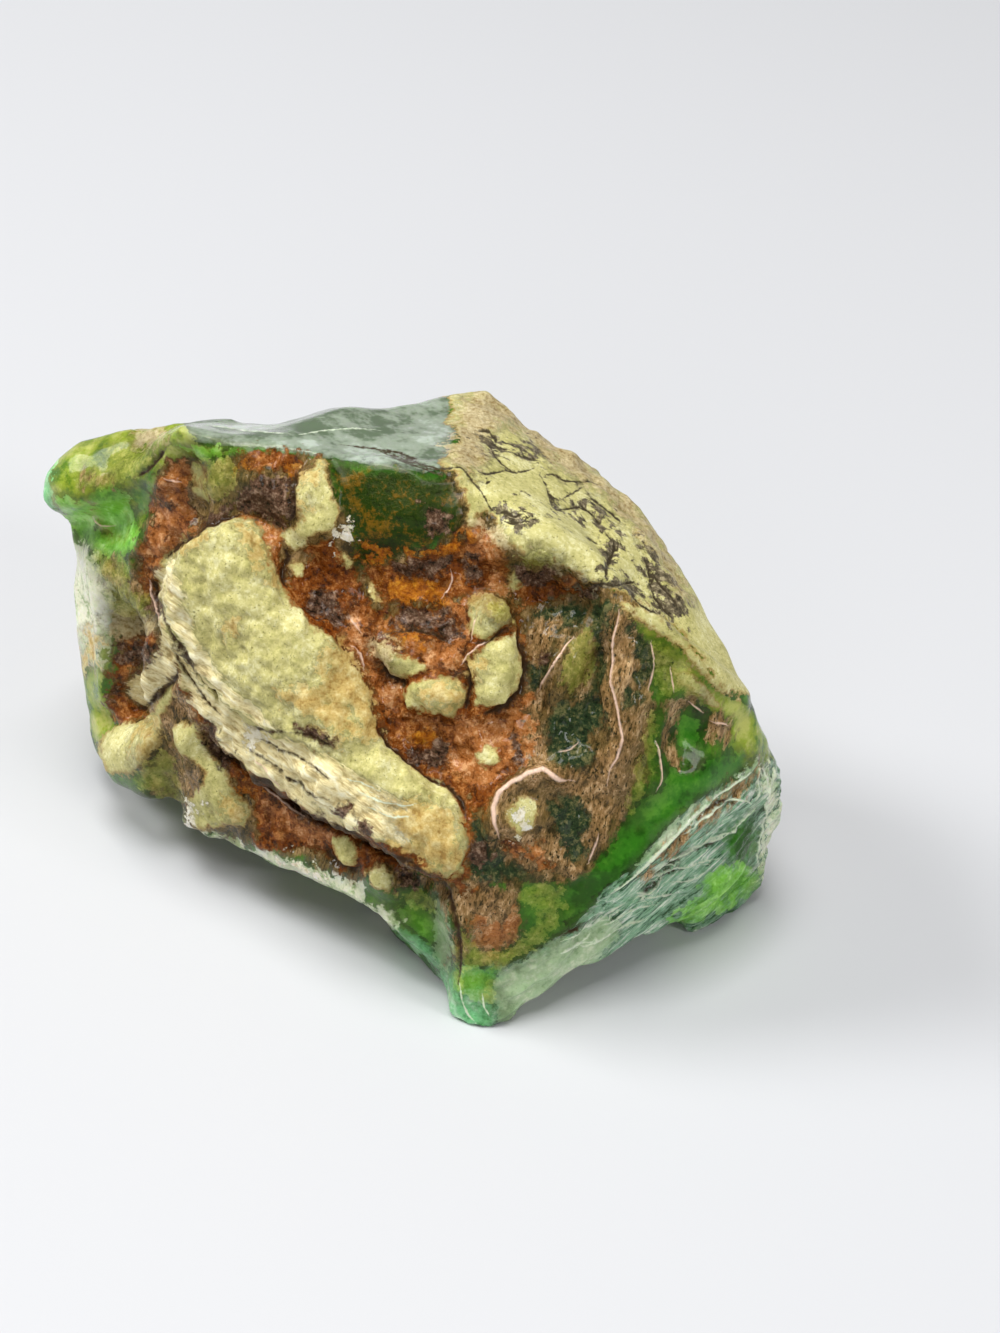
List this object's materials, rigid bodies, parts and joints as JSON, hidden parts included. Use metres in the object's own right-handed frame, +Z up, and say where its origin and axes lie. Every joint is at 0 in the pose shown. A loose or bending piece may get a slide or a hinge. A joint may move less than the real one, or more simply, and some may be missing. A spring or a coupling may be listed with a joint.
{
  "type": "raw chrysoprase",
  "caption": "Rough lump of green chrysoprase in a cream and rust-brown rind, with a wedge-shaped front, a glossy broken top face and a rounded knob at one end, standing on three small feet.",
  "frame": {"origin": "on the surface the lump stands on, under the middle of its box", "axes": "+X along its length, from the knob's end to the right end; +Y to its back, away from the wedge-shaped front; +Z up"},
  "size_m": [0.0498, 0.0366, 0.0317],
  "materials": {
    "stone": "green chalcedony with cream, rust-brown and dark rind, wet-looking gloss on the broken faces"
  },
  "bodies": {
    "root": {"chrysoprase": "stone"}
  },
  "joints": []
}
